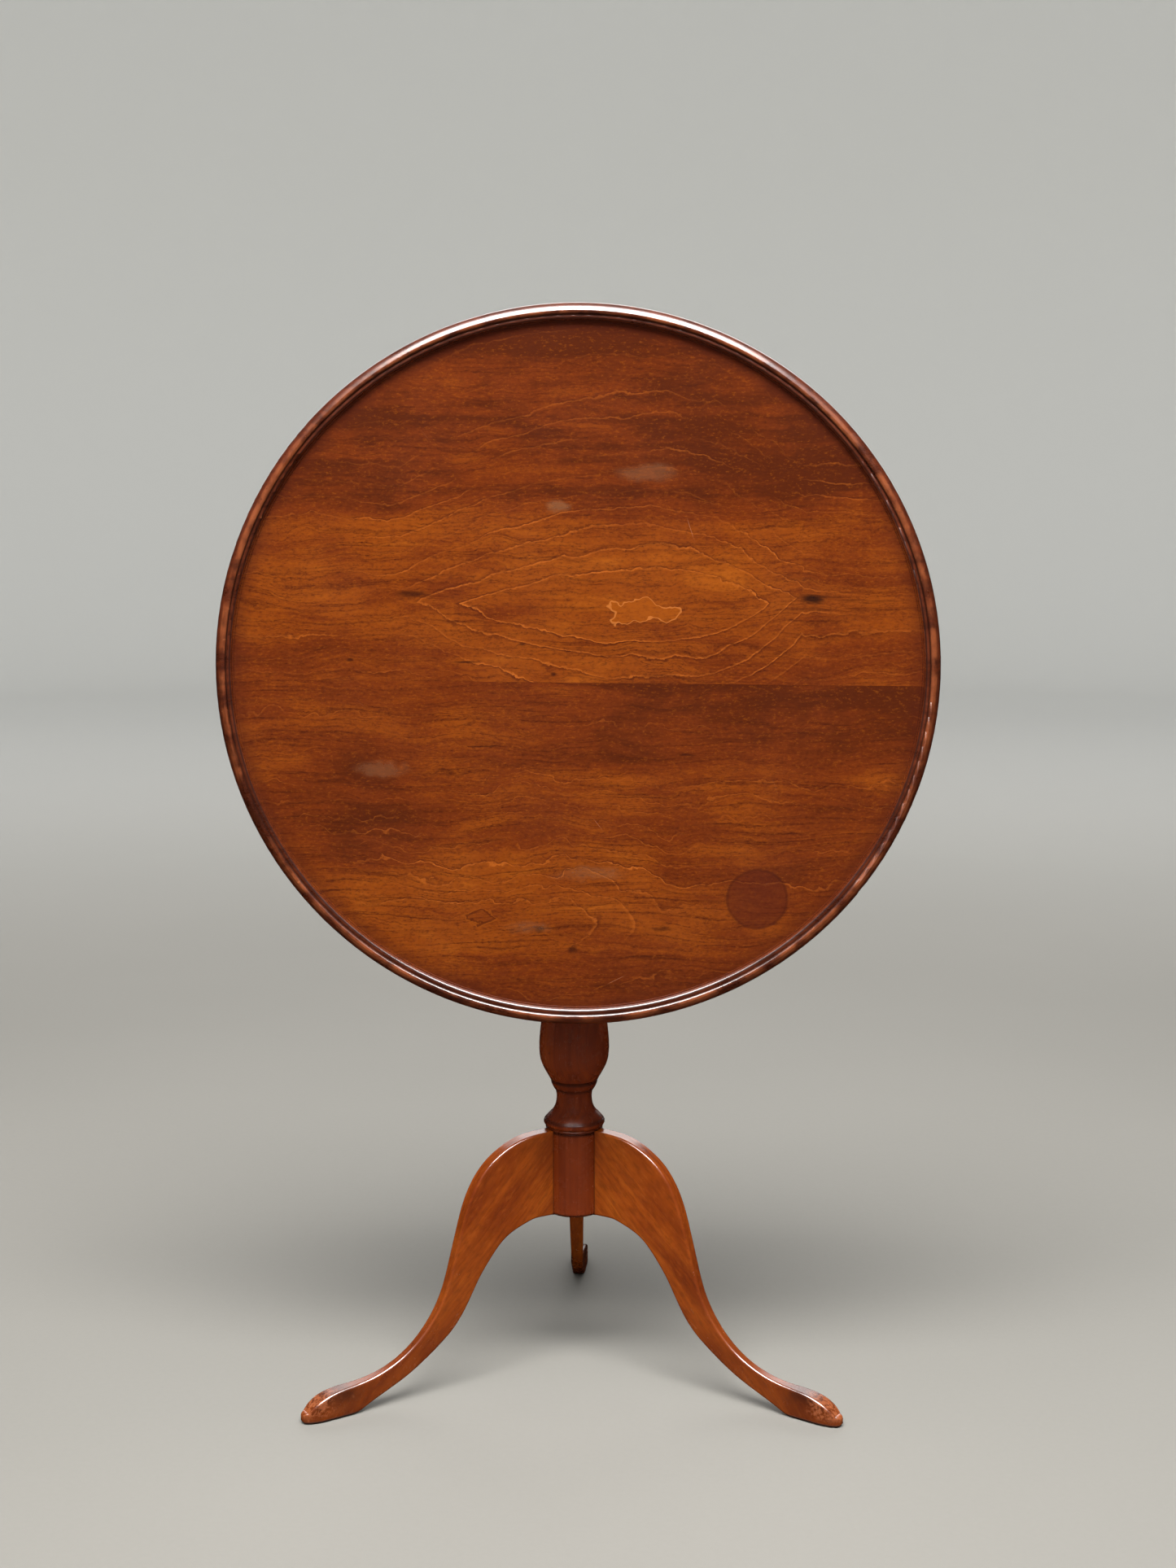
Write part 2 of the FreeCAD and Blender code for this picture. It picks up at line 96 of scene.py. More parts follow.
class Kit:
    """A material's node tree with its principled shader and object coordinates."""

    def __init__(self, name):
        self.mat = bpy.data.materials.new(name)
        self.mat.use_nodes = True
        self.tree = self.mat.node_tree
        self.tree.nodes.clear()
        self.out = self.add("ShaderNodeOutputMaterial")
        self.bsdf = self.add("ShaderNodeBsdfPrincipled")
        self.link(self.bsdf.outputs[0], self.out.inputs[0])
        coords = self.add("ShaderNodeTexCoord")
        split = self.add("ShaderNodeSeparateXYZ")
        self.link(coords.outputs["Object"], split.inputs[0])
        self.x, self.y, self.z = (Sum(self, s) for s in split.outputs)

    def add(self, kind):
        return self.tree.nodes.new(kind)

    def link(self, a, b):
        self.tree.links.new(a, b)

    def put(self, value, socket):
        if isinstance(value, Sum):
            self.link(value.socket, socket)
        elif isinstance(value, bpy.types.NodeSocket):
            self.link(value, socket)
        else:
            socket.default_value = value

    def math(self, op, *values):
        node = self.add("ShaderNodeMath")
        node.operation = op
        for value, socket in zip(values, node.inputs):
            self.put(value, socket)
        return Sum(self, node.outputs[0])

    def length(self, a, b):
        return self.math("SQRT", a * a + b * b)

    def step(self, value, start, end):
        """Smooth rise from 0 to 1 while value goes from start to end."""
        node = self.add("ShaderNodeMapRange")
        node.interpolation_type = "SMOOTHSTEP"
        for v, socket in zip((value, start, end), node.inputs):
            self.put(v, socket)
        return Sum(self, node.outputs[0])

    def vector(self, x, y, z=0.0):
        node = self.add("ShaderNodeCombineXYZ")
        for v, socket in zip((x, y, z), node.inputs):
            self.put(v, socket)
        return node.outputs[0]

    def noise(self, vector, detail=3.0, rough=0.5):
        node = self.add("ShaderNodeTexNoise")
        self.link(vector, node.inputs["Vector"])
        node.inputs["Scale"].default_value = 1.0
        node.inputs["Detail"].default_value = detail
        node.inputs["Roughness"].default_value = rough
        return Sum(self, node.outputs["Fac"])

    def random(self, value):
        """A value from 0 to 1 that is the same each time for the same number."""
        node = self.add("ShaderNodeTexWhiteNoise")
        node.noise_dimensions = "1D"
        self.put(value, node.inputs["W"])
        return Sum(self, node.outputs["Value"])

    def ellipse(self, u, v, at, size, soft):
        """1 inside an ellipse, 0 outside, with a soft edge."""
        away = self.length((u - at[0]) / size[0], (v - at[1]) / size[1])
        return self.step(away, 1.0 + soft, 1.0 - soft)

    def band(self, value, centre, half, soft):
        """1 within half of centre, falling to 0 over soft."""
        away = self.math("ABSOLUTE", value - centre)
        return self.step(away, half + soft, half)

    def mix(self, amount, a, b, kind="MIX"):
        node = self.add("ShaderNodeMix")
        node.data_type = "RGBA"
        node.blend_type = kind
        factor, first, second, result = 0, 6, 7, 2     # the colour sockets of a mix node
        self.put(amount, node.inputs[factor])
        self.put(a, node.inputs[first])
        self.put(b, node.inputs[second])
        return node.outputs[result]

    def finish(self, colour, rough, height=None, depth=0.0, specular=0.5, metallic=0.0):
        """Wire up the shader; depth is how far a height of 1 stands proud."""
        self.put(colour, self.bsdf.inputs["Base Color"])
        self.put(rough, self.bsdf.inputs["Roughness"])
        if height is not None:
            bump = self.add("ShaderNodeBump")
            bump.inputs["Strength"].default_value = 1.0
            bump.inputs["Distance"].default_value = depth
            self.put(height, bump.inputs["Height"])
            self.link(bump.outputs[0], self.bsdf.inputs["Normal"])
        self.bsdf.inputs["Specular IOR Level"].default_value = specular
        self.bsdf.inputs["Metallic"].default_value = metallic
        return self.mat


def srgb(r, g, b):
    """Linear colour of an 8-bit display colour."""
    def one(c):
        c /= 255.0
        return c / 12.92 if c <= 0.04045 else ((c + 0.055) / 1.055) ** 2.4
    return (one(r), one(g), one(b), 1.0)


# ---------------------------------------------------------------- colours
# polished cherry, from its palest patches to the dirt and painted shade in its grooves
LIGHT = srgb(150, 76, 16)
MID = srgb(128, 59, 12)
RED = srgb(106, 43, 11)
DARK = srgb(70, 26, 8)
DEEP = srgb(44, 16, 8)
RING_PALE = srgb(186, 98, 32)
RING_DARK = srgb(74, 26, 10)
ISLE = srgb(143, 70, 13)
ISLE_EDGE = srgb(206, 124, 56)
KNOT = srgb(30, 13, 9)
CUP_RING = srgb(78, 26, 12)
SCUFF = srgb(152, 112, 72)
HAIRLINE = srgb(190, 128, 82)
NICK = srgb(176, 104, 62)
RIM_DARK = srgb(62, 23, 9)
RIM_LIGHT = srgb(97, 40, 16)
RIM_OUTER = srgb(66, 25, 12)
RIM_SHADE = srgb(70, 25, 12)
RIM_CREST = srgb(158, 84, 44)
LEG_DARK = srgb(121, 49, 10)
LEG_MID = srgb(147, 66, 12)
LEG_LIGHT = srgb(170, 83, 16)
LEG_FLECK = srgb(176, 94, 30)
LEG_LOW = srgb(100, 43, 13)
FOOT = srgb(58, 25, 15)
TOE = srgb(184, 104, 62)
LEG_SCUFF = srgb(184, 112, 68)
SOLE = srgb(34, 20, 14)
POST_DARK = srgb(100, 35, 9)
POST_MID = srgb(122, 47, 13)
POST_LIGHT = srgb(148, 65, 18)
HUB = srgb(96, 36, 8)
# bare wood under the top
DRY_LIGHT = srgb(150, 108, 72)
DRY_DARK = srgb(98, 64, 42)
DRY_DIRT = srgb(70, 46, 34)


# ---------------------------------------------------------------- wood
def ring_lines(k, growth, spacing, seed, sharp=9.0):
    """Late-wood lines: each ring darkens outwards and ends sharply; some rings are bolder."""
    turns = growth / spacing + seed
    share = k.math("FRACT", turns)
    number = k.math("FLOOR", turns)
    bold = k.random(number * 1.37 + seed)
    return (share ** sharp) * (0.25 + 0.75 * bold * bold), share


def fibre(k, along, across, deep, seed):
    """Fine grain, long along the fibres and very narrow across them."""
    fine = k.noise(k.vector(along * 9.0 + seed, across * 520.0, deep * 300.0), 4.0, 0.6)
    coarse = k.noise(k.vector(along * 4.0 - seed, across * 150.0, deep * 120.0), 3.0, 0.55)
    return fine, coarse


def pores(k, along, across, deep, seed):
    """Small dark flecks drawn out along the grain."""
    spots = k.noise(k.vector(along * 60.0 + seed, across * 900.0, deep * 700.0), 2.0, 0.5)
    return k.step(spots, 0.66, 0.78)


def scratches(k, u, v, seed):
    """A few thin, nearly straight hairlines in three directions."""
    total = None
    for turn, place in ((0.5, 0.0), (-0.9, 3.1), (1.9, 7.7)):
        c, s = math.cos(turn), math.sin(turn)
        p = u * c + v * s
        q = v * c - u * s
        bend = k.noise(k.vector(p * 6.0 + place, q * 3.0 + seed), 1.0) * 0.03
        lane = k.math("ABSOLUTE", k.math("FRACT", (q + bend) * 9.0 + place) - 0.5)
        mark = k.step(lane, 0.0045, 0.0015)
        here = k.step(k.noise(k.vector(p * 13.0 + seed, q * 21.0 + place), 1.0), 0.68, 0.76)
        part = mark * here
        total = part if total is None else total + part
    return k.math("MINIMUM", total, 1.0)


def dry_wood(k, along, across, deep, seed):
    """Colour, roughness and height of bare wood gone brown under a table."""
    fine, coarse = fibre(k, along, across, deep, seed)
    wide = k.noise(k.vector(along * 3.0 + seed, across * 14.0, deep * 14.0), 3.0)
    saw = k.noise(k.vector(along * 420.0, across * 6.0 + seed, deep * 6.0), 2.0)
    growth = across + wide * 0.01 + along * 0.02
    lines, _ = ring_lines(k, growth, spacing=0.006, seed=seed, sharp=5.0)
    tone = k.step(wide * 0.5 + coarse * 0.3 + fine * 0.25 - lines * 0.12, 0.36, 0.66)
    colour = k.mix(tone, DRY_DARK, DRY_LIGHT)
    dirt = k.noise(k.vector(along * 18.0, across * 18.0 + seed, deep * 18.0), 4.0, 0.65)
    colour = k.mix(k.step(dirt, 0.55, 0.72) * 0.45, colour, DRY_DIRT)
    rough = 0.62 + fine * 0.2
    height = fine * 0.5 + saw * 0.35 + lines * 0.2
    return colour, rough, height


# ---------------------------------------------------------------- the round top
# where the saw grazed a ring: the middle of that lens, its half height, its reach to the left and
# right, and how far out along the board its rings go on closing
UPPER_LENS = {"u": 0.080, "v": 0.068, "half": 0.039, "left": 0.198, "right": 0.111, "most": 1.65}
LOWER_LENS = {"u": -0.060, "v": -0.262, "half": 0.030, "left": 9.0, "right": 0.080, "most": 3.4}
RINGS_PER_LENS = 2.1
FIRST_RING = 0.90

# lighter and darker places: centre, half sizes, soft edge, sway along u and v, change of tone
UPPER_TONES = (
    ((0.197, 0.200), (0.085, 0.022), 0.6, (0.0, 0.03), -0.10),
    ((0.04, 0.055), (0.22, 0.055), 0.6, (0.0, 0.0), 0.05),
    ((-0.17, 0.11), (0.14, 0.05), 0.7, (0.0, 0.0), 0.04),
    ((0.25, 0.015), (0.13, 0.04), 0.7, (0.0, 0.0), -0.06),
    ((-0.155, 0.065), (0.07, 0.025), 0.8, (0.0, 0.02), -0.09),
)
LOWER_TONES = (
    ((-0.05, -0.238), (0.16, 0.055), 0.4, (0.08, 0.06), 0.09),
    ((-0.28, -0.05), (0.08, 0.05), 0.8, (0.0, 0.0), 0.05),
    ((-0.235, -0.13), (0.085, 0.050), 0.5, (0.05, 0.03), -0.13),
    ((0.02, -0.31), (0.20, 0.03), 0.8, (0.0, 0.0), -0.05),
)

# dark specks and short cracks: centre and half sizes
UPPER_SPECKS = (
    ((-0.227, 0.012), (0.0030, 0.0020)), ((-0.024, -0.002), (0.0026, 0.0020)),
    ((-0.112, 0.010), (0.0110, 0.0010)), ((-0.055, 0.028), (0.0030, 0.0014)),
    ((-0.165, 0.078), (0.014, 0.0030)),
)
LOWER_SPECKS = (
    ((-0.005, -0.284), (0.0045, 0.0036)), ((-0.039, -0.263), (0.004, 0.0030)),
    ((-0.095, -0.075), (0.015, 0.0008)), ((0.110, -0.083), (0.008, 0.0010)),
    ((0.085, -0.262), (0.010, 0.0020)),
)

# pale scuffs: centre, half sizes, strength
UPPER_SCUFFS = (
    ((0.067, 0.197), (0.027, 0.0075), 0.13), ((-0.022, 0.163), (0.011, 0.0055), 0.24),
)
LOWER_SCUFFS = (
    ((-0.197, -0.098), (0.024, 0.0065), 0.14), ((0.012, -0.207), (0.030, 0.006), 0.11),
    ((-0.05, -0.262), (0.022, 0.005), 0.09),
)

CUP_AT = (0.182, -0.231)       # the round stain left by a cup
CUP_R = 0.0302

# painted shade and dirt in the grooves of the rim: depth in from the edge, half width, strength
RIM_GROOVES = (
    (0.0182, 0.0006, 0.85), (0.0149, 0.0004, 0.8), (0.0110, 0.0004, 0.8), (0.0002, 0.0002, 0.4),
)


class Board:
    """One board of the top: its coordinates, and the noises that its patterns share."""

    def __init__(self, k, upper):
        self.upper = upper
        self.side = side = 0.0 if upper else 20.0     # keeps the two boards' noises apart
        self.u = u = k.x - DISC.x
        self.v = v = k.z - DISC.z
        self.edge = DISC_R - k.length(u, v)
        slow = k.noise(k.vector(u * 7.0, v * 14.0, 0.3 + side), 2.0) - 0.5
        self.wave = wave = k.noise(k.vector(u * 26.0, v * 34.0, 1.3 + side), 2.0, 0.5) - 0.5
        nibble = k.noise(k.vector(u * 120.0, v * 120.0, 2.3 + side), 2.0, 0.6) - 0.5
        self.nibble = nibble
        self.bent_v = v + slow * 0.030 + wave * 0.015 + nibble * 0.0055
        self.bent_u = u + wave * 0.016 + nibble * 0.004
        self.fine, self.coarse = fibre(k, u, self.bent_v + slow * 0.02, k.y, 0.7 + side)
        self.thread = k.noise(
            k.vector(u * 9.0, (v + slow * 0.03) * 400.0, k.y * 300.0), 3.0, 0.6)
        self.mottle = k.noise(k.vector(u * 240.0, v * 480.0, k.y * 300.0 + side), 3.0, 0.65)


def lens_level(k, b):
    """Rings counted out from the lens: pointed on the upper board, rounded on the lower."""
    lens = UPPER_LENS if b.upper else LOWER_LENS
    du = b.bent_u - lens["u"]
    run = (k.math("MAXIMUM", du, 0.0) / lens["right"]
           + k.math("MINIMUM", du, 0.0) / lens["left"])
    run = k.math("MINIMUM", run * run, lens["most"])
    if b.upper:
        return k.math("ABSOLUTE", b.bent_v - lens["v"]) / lens["half"] + run
    dv = (b.bent_v - lens["v"] + b.wave * 0.020) / lens["half"]
    return k.math("SQRT", dv * dv + run)


def contours(k, level):
    """Each ring's pale inner line and dark outer line, and how bold that ring is."""
    turns = level + FIRST_RING
    number = k.math("FLOOR", turns + 0.5)
    off = turns - number
    bold = k.random(number * 1.37 + FIRST_RING)
    pale = k.step(off, -0.10, -0.035) * k.step(off, 0.012, 0.0)
    dark = k.step(off, -0.004, 0.012) * k.step(off, 0.15, 0.0375)
    return pale, dark, bold


def board_tone(k, b):
    """How light the board is before its figure: broad patches, dark bands, worn places, and painted
    shade towards the top of the upper board.
    """
    u, v, wave = b.u, b.v, b.wave
    patch = k.noise(k.vector(u * 4.0 + 1.7, v * 15.0 + b.side, 0.0), 4.0, 0.6)
    cloud = k.noise(k.vector(u * 14.0, v * 26.0 + 3.0, 5.0 + b.side), 4.0, 0.6)
    tone = patch * 0.44 + cloud * 0.34 + b.coarse * 0.20
    if b.upper:
        band = k.step(v + wave * 0.03, 0.135, 0.185) * k.step(v + wave * 0.03, 0.30, 0.262)
        streak = k.noise(k.vector(u * 9.0 + 4.0, v * 75.0, 7.0), 4.0, 0.65)
        tone = tone - band * (k.step(streak, 0.42, 0.66) * 0.10 + 0.105)
        # painted shade: the upper board darkens towards its top edge, under the top of the rim
        tone = tone - k.step(v, 0.25, 0.33) * 0.22 - 0.020
        tone = tone - k.step(v + wave * 0.03, 0.045, 0.0) * k.step(u, 0.02, -0.14) * 0.055
    else:
        tone = tone - 0.035 - k.step(u, -0.10, 0.10) * 0.035
        by_seam = k.step(u, -0.06, 0.08) * 0.125 + 0.060
        tone = tone - k.step(v, -0.12, -0.02) * by_seam
    for at, size, soft, (sway_u, sway_v), change in UPPER_TONES if b.upper else LOWER_TONES:
        place = k.ellipse(u + wave * sway_u, v + wave * sway_v, at, size, soft)
        tone = tone + place * change
    return tone


def board_face(k, b):
    """Colour of the bare figure: tone, rings, grain and pores; and how dark the grain is."""
    u, v = b.u, b.v
    level = lens_level(k, b)
    pale, dark, bold = contours(k, level * RINGS_PER_LENS)
    tone = board_tone(k, b)
    colour = k.mix(k.step(tone, 0.38, 0.52), RED, MID)
    colour = k.mix(k.step(tone, 0.50, 0.64), colour, LIGHT)
    colour = k.mix(k.step(tone, 0.40, 0.24) * 0.8, colour, DARK)

    if b.upper:
        near_lens = k.ellipse(u, v, (0.04, 0.064), (0.20, 0.085), 0.25)
    else:
        near_lens = k.ellipse(u, v, (-0.05, -0.225), (0.15, 0.050), 0.4) * 0.7
    here = k.step(k.noise(k.vector(u * 9.0, v * 22.0, 8.0 + b.side), 3.0), 0.38, 0.66)
    drawn = near_lens * (0.45 + here * 0.5) + (bold * bold) * here * 0.55
    drawn = k.math("MINIMUM", drawn, 0.95) * k.step(level, 0.70, 0.85)
    colour = k.mix(pale * drawn * 0.70, colour, RING_PALE)
    colour = k.mix(dark * drawn * 0.75, colour, RING_DARK)

    grain = k.step(b.fine, 0.47, 0.70) * 0.40
    grain = grain + k.step(b.thread, 0.50, 0.72) * (0.36 if b.upper else 0.52)
    grain = grain + k.step(b.mottle, 0.48, 0.70) * 0.42
    colour = k.mix(k.math("MINIMUM", grain, 0.9), colour, DARK)
    colour = k.mix(k.step(b.mottle, 0.46, 0.28) * 0.34, colour, LIGHT)
    dash = k.noise(
        k.vector(u * 34.0, b.bent_v * 620.0, k.y * 300.0 + 4.0 + b.side), 2.0, 0.5)
    dash = k.step(dash, 0.66, 0.74) * k.step(here, 0.1, 0.9)
    colour = k.mix(dash * 0.45, colour, DEEP)
    colour = k.mix(pores(k, u, v, k.y, 1.0) * 0.35, colour, DARK)
    return colour, grain


def upper_marks(k, b, colour, grain):
    """The pale island inside the lens, the knot with its dark tail, and specks."""
    u, v, wave, nibble = b.u, b.v, b.wave, b.nibble
    ragged_u = u + (k.noise(k.vector(u * 46.0, v * 60.0, 3.1), 2.0) - 0.5) * 0.046
    ragged_v = v + (k.noise(k.vector(u * 55.0, v * 60.0, 6.4), 2.0) - 0.5) * 0.030
    isle = k.length((ragged_u - 0.063) / 0.035, (ragged_v - 0.0605) / 0.0105)
    colour = k.mix(k.step(isle, 1.05, 0.95) * (0.85 - grain * 0.8), colour, ISLE)
    colour = k.mix(k.band(isle, 1.0, 0.03, 0.05) * 0.45, colour, ISLE_EDGE)
    knot = k.ellipse(u + wave * 0.01, v + wave * 0.010, (0.232, 0.072), (0.011, 0.0038), 0.6)
    tail = k.ellipse(u + wave * 0.02, v + nibble * 0.01, (0.262, 0.070), (0.045, 0.010), 0.8)
    streak = k.step(k.noise(k.vector(u * 20.0, v * 260.0, 3.0), 3.0), 0.48, 0.66)
    colour = k.mix(tail * streak * 0.65, colour, DEEP)
    colour = k.mix(knot * 0.9, colour, KNOT)
    for at, size in UPPER_SPECKS:
        speck = k.ellipse(u, v + nibble * 0.002, at, size, 0.6)
        colour = k.mix(speck * 0.7, colour, DEEP)
    return colour


def lower_marks(k, b, colour, gloss):
    """A small closed ring of the figure, specks, and the round stain, which is less glossy."""
    u, v, wave, nibble = b.u, b.v, b.wave, b.nibble
    ru = (u + wave * 0.045 + nibble * 0.012 + 0.103) / 0.0165
    rv = (v + wave * 0.020 + nibble * 0.008 + 0.252) / 0.0075
    isle = k.math("ABSOLUTE", ru) + k.math("ABSOLUTE", rv)
    colour = k.mix(k.step(isle, 1.1, 0.8) * 0.35, colour, RED)
    colour = k.mix(k.band(isle, 1.05, 0.08, 0.14) * 0.60, colour, DARK)
    colour = k.mix(k.band(isle, 1.32, 0.05, 0.10) * 0.40, colour, ISLE)
    for at, size in LOWER_SPECKS:
        speck = k.ellipse(u, v + nibble * 0.004, at, size, 0.7)
        colour = k.mix(speck * 0.6, colour, DEEP)
    ring = k.length(u - CUP_AT[0], v - CUP_AT[1]) + wave * 0.0025
    inside = k.step(ring, CUP_R + 0.0018, CUP_R - 0.0004)
    colour = k.mix(inside * 0.55, colour, CUP_RING)
    colour = k.mix(k.band(ring, CUP_R, 0.0006, 0.0016) * 0.25, colour, DEEP)
    return colour, gloss + inside * 0.15


def rim_wear(k, b, colour):
    """Handled rim: darker red, dirt and painted shade in its grooves, a darker band inside it with
    painted shadow at the top, worn crest. Returns its mask too.
    """
    rim = k.step(b.edge, 0.0178, 0.0150)
    rub = k.noise(k.vector(k.x * 30.0, k.y * 60.0, k.z * 30.0), 4.0, 0.6)
    rim_tone = k.step(b.coarse * 0.35 + rub * 0.45 + b.thread * 0.2, 0.38, 0.62)
    rim_colour = k.mix(rim_tone, RIM_DARK, RIM_LIGHT)
    outer = k.step(k.y, CREST_Y + 0.004, CREST_Y + 0.008)
    rim_colour = k.mix(outer * 0.5, rim_colour, RIM_OUTER)
    colour = k.mix(rim, colour, rim_colour)
    # a darker band just inside the rim all round; its rise towards the top is painted shadow under
    # the top of the rim
    shade = 0.30 + rub * 0.6 + k.step(b.v, 0.15, 0.34) * 0.3
    near_rim = k.step(b.edge, 0.036, 0.018) * shade
    colour = k.mix(near_rim * (1.0 - rim) * 0.75, colour, RIM_SHADE)
    # dark lines in the grooves: painted shade, with dirt
    for place, half_width, amount in RIM_GROOVES:
        line = k.band(b.edge, place, half_width, 0.0007) * amount * (1.0 - outer)
        colour = k.mix(line, colour, DEEP)
    crest = k.band(b.edge, 0.0075, 0.0020, 0.0020) * k.step(rub, 0.40, 0.64) * (1.0 - outer)
    colour = k.mix(crest * 0.55, colour, RIM_CREST)
    nick = k.noise(k.vector(k.x * 120.0, k.y * 120.0, k.z * 120.0), 3.0, 0.7)
    colour = k.mix(rim * k.step(nick, 0.68, 0.74) * 0.5, colour, NICK)
    colour = k.mix(rim * k.step(nick, 0.33, 0.27) * 0.6, colour, DEEP)
    return colour, rim * rub


def top_cherry(name, upper):
    """Face, moulded rim and bare underside of one board of the round top."""
    k = Kit(name)
    b = Board(k, upper)
    u, v, wave, nibble = b.u, b.v, b.wave, b.nibble
    colour, grain = board_face(k, b)
    gloss = k.noise(k.vector(u * 9.0, v * 9.0, 2.0), 4.0, 0.6)
    if upper:
        colour = upper_marks(k, b, colour, grain)
    else:
        colour, gloss = lower_marks(k, b, colour, gloss)
    for at, size, amount in UPPER_SCUFFS if upper else LOWER_SCUFFS:
        worn = k.ellipse(u + wave * 0.030 + nibble * 0.01, v + wave * 0.018 + nibble * 0.006,
                         at, size, 0.5)
        colour = k.mix(worn * amount, colour, SCUFF)
        gloss = gloss + worn * 0.5
    hair = scratches(k, u, v, 2.0 + b.side)
    colour = k.mix(hair * 0.22, colour, HAIRLINE)
    colour, rim_rub = rim_wear(k, b, colour)

    below = k.step(k.y, UNDERSIDE_Y - 0.0012, UNDERSIDE_Y - 0.0004)
    bare, bare_rough, bare_height = dry_wood(k, u, v, k.y, 3.0 + b.side)
    colour = k.mix(below, colour, bare)
    face_rough = 0.14 + gloss * 0.12 + b.mottle * 0.05 + hair * 0.1 + rim_rub * 0.14
    rough = face_rough + below * (bare_rough - face_rough)
    face_height = b.fine * 0.30 + b.mottle * 0.30 + gloss * 0.6 - hair * 0.4
    height = face_height + below * (bare_height * 3.0 - face_height)
    return k.finish(colour, rough, height, depth=0.00014, specular=0.40)


# ---------------------------------------------------------------- the stand
LEG_AZIMUTHS = {"leg_left": 210.0, "leg_right": 330.0, "leg_back": 90.0}
LEG_GRAIN_SLOPE = math.radians(47.0)     # the grain falls from knee to toe
HUB_R = 0.031
HUB_TOP = 0.266

# painted shade and dirt in the quirks of the turning: height, half width, strength
PILLAR_QUIRKS = (
    (0.2690, 0.0012, 0.75), (0.2795, 0.0008, 0.6), (0.3130, 0.0010, 0.6),
    (0.3225, 0.0010, 0.7), (0.1765, 0.0012, 0.7),
)


def leg_cherry(name, azimuth):
    """A leg sawn with its grain from knee to toe, darker and worn at the foot."""
    k = Kit(name)
    c, s = math.cos(math.radians(azimuth)), math.sin(math.radians(azimuth))
    out = (k.x - PILLAR.x) * c + (k.y - PILLAR.y) * s
    flat = (k.y - PILLAR.y) * c - (k.x - PILLAR.x) * s
    fall, rise = math.sin(LEG_GRAIN_SLOPE), math.cos(LEG_GRAIN_SLOPE)
    along = out * rise - k.z * fall + azimuth * 0.01
    across = out * fall + k.z * rise
    slow = k.noise(k.vector(along * 5.0, across * 16.0, flat * 16.0), 3.0, 0.5) - 0.5
    wave = k.noise(k.vector(along * 30.0, across * 60.0, flat * 60.0), 2.0) - 0.5
    growth = k.length(across - 0.235 + slow * 0.045 + wave * 0.003,
                      flat + 0.050 + slow * 0.012)
    lines, share = ring_lines(k, growth, spacing=0.0060, seed=azimuth * 0.013)
    fine, coarse = fibre(k, along, growth, flat, azimuth * 0.05)
    cloud = k.noise(k.vector(along * 12.0, across * 22.0, flat * 22.0), 3.0)
    mottle = k.noise(k.vector(along * 90.0, across * 260.0, flat * 260.0), 3.0, 0.6)
    tone = coarse * 0.24 + fine * 0.20 + cloud * 0.46 + mottle * 0.10
    tone = tone + slow * 0.15 - share * 0.03
    colour = k.mix(k.step(tone, 0.40, 0.52), LEG_DARK, LEG_MID)
    colour = k.mix(k.step(tone, 0.50, 0.64), colour, LEG_LIGHT)
    colour = k.mix(lines * 0.20, colour, DARK)
    colour = k.mix(k.step(fine, 0.46, 0.68) * 0.30, colour, DARK)
    colour = k.mix(k.step(mottle, 0.46, 0.68) * 0.34, colour, DARK)
    colour = k.mix(k.step(mottle, 0.46, 0.28) * 0.25, colour, LEG_FLECK)
    colour = k.mix(pores(k, along, across, flat, 2.0) * 0.3, colour, DARK)

    # the foot is dark on top, and its toe is knocked back to coppery wood
    low = k.step(k.z + slow * 0.03, 0.20, 0.03)
    colour = k.mix(low * 0.30, colour, LEG_LOW)
    rub = k.noise(k.vector(k.x * 70.0, k.y * 70.0, k.z * 70.0), 4.0, 0.65)
    rasp = k.noise(k.vector(k.x * 330.0, k.y * 330.0, k.z * 330.0), 3.0, 0.6)
    on_top = 0.35 + k.step(k.z, 0.012, 0.026) * 0.65
    foot = k.step(out + rub * 0.02, 0.258, 0.286) * on_top
    colour = k.mix(foot * (0.45 + rub * 0.5), colour, FOOT)
    toe = k.step(out + rub * 0.030, 0.296, 0.314) * k.step(k.z, 0.004, 0.011)
    knocked = k.step(rub * 0.45 + rasp * 0.55, 0.43, 0.57)
    colour = k.mix(toe * knocked * 0.60, colour, TOE)
    scuff = k.step(rub, 0.66, 0.74) * k.step(k.z, 0.11, 0.03)
    colour = k.mix(scuff * 0.4, colour, LEG_SCUFF)
    dent = k.step(rub, 0.30, 0.24)
    colour = k.mix(dent * 0.55, colour, DEEP)
    sole = k.step(k.z, 0.004, 0.0015)
    colour = k.mix(sole * 0.85, colour, SOLE)
    joint = k.step(out, HUB_R + 0.0008, HUB_R - 0.0008)
    colour = k.mix(joint * 0.7, colour, DEEP)
    rough = 0.15 + rub * 0.12 + fine * 0.05 + low * 0.03 + sole * 0.3
    height = fine * 0.35 + rub * 0.8 - dent * 0.9
    return k.finish(colour, rough, height, depth=0.00020, specular=0.62)


